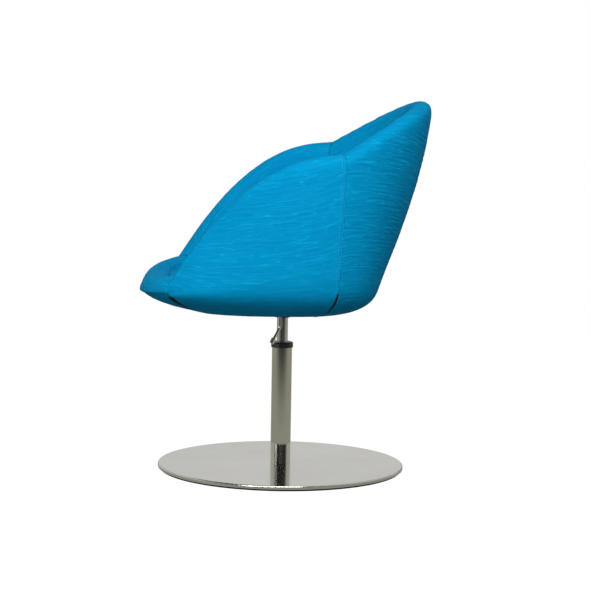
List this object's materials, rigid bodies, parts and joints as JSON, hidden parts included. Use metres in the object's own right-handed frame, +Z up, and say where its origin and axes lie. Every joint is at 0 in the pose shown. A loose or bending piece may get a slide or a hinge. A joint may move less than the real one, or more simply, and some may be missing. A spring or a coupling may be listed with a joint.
{
  "type": "swivel armchair",
  "caption": "Low-backed upholstered bucket armchair that swivels on a height-adjustable gas column rising from a polished steel disc.",
  "frame": {"origin": "on the floor under the column's axis, at the underside of the foot's rubber pad", "axes": "+Z up along the column, the sitter faces -Y, +X is the sitter's left"},
  "size_m": [0.6558, 0.6401, 0.8265],
  "materials": {
    "blue_fabric": "stretch knit with a fine crinkle, satin sheen",
    "black_fabric": "plain black lining cloth",
    "foam": "moulded polyurethane foam",
    "rubber": "matt black rubber",
    "polished_steel": "polished stainless steel",
    "chrome_tube": "bright chrome plate",
    "plain_steel": "bright zinc",
    "weight_paint": "black primer on steel plate",
    "frame_paint": "black powder coat",
    "black_plastic": "black nylon"
  },
  "bodies": {
    "base": {"floor_pad": "rubber", "base_weight": "weight_paint", "base_cover": "polished_steel", "base_bolt": "plain_steel", "column_tube": "polished_steel", "column_plug": "plain_steel", "guide_bush": "black_plastic", "column_collar": "black_plastic", "bearing_carrier": "plain_steel", "lower_race": "plain_steel"},
    "swivel": {"piston_rod": "plain_steel", "upper_race": "plain_steel", "rod_clip": "plain_steel", "stop_buffer": "rubber", "ball_cage": "black_plastic", "bearing_balls": "plain_steel"},
    "seat": {"gas_tube": "chrome_tube", "rod_gland": "black_plastic", "valve_body": "plain_steel", "taper_hub": "frame_paint", "seat_plate": "frame_paint", "seat_bolts": "plain_steel", "seat_washers": "plain_steel", "lever_pin": "plain_steel", "seat_frame": "frame_paint", "foam_bucket": "foam", "front_cover": "blue_fabric", "left_side_cover": "blue_fabric", "right_side_cover": "blue_fabric", "back_cover": "blue_fabric", "left_arm_lining": "blue_fabric", "right_arm_lining": "blue_fabric", "back_lining": "blue_fabric", "front_gussets": "black_fabric", "rear_gussets": "black_fabric", "seat_cover": "blue_fabric", "underside_cover": "black_fabric"},
    "lever": {"release_lever": "chrome_tube", "lever_cap": "chrome_tube"},
    "button": {"release_button": "plain_steel"}
  },
  "joints": [
    {"name": "seat_swivel", "type": "hinge", "parent": "base", "child": "swivel", "pos_m": [0, 0, 0.0555], "axis": [0, 0, 1], "continuous": true},
    {"name": "height_lift", "type": "slide", "parent": "swivel", "child": "seat", "axis": [0, 0, 1], "range_m": [-0.05, 0.03]},
    {"name": "lever_rock", "type": "hinge", "parent": "seat", "child": "lever", "pos_m": [0.028, 0, 0.3853], "axis": [0, -1, 0], "range_deg": [0, 5.1], "stiffness_Nm_per_rad": 3},
    {"name": "button_press", "type": "slide", "parent": "seat", "child": "button", "axis": [0, 0, -1], "range_m": [0, 0.0028]}
  ],
  "couplings": [
    {"joint": "button_press", "follows": "lever_rock", "m_per_rad": 0.031}
  ]
}
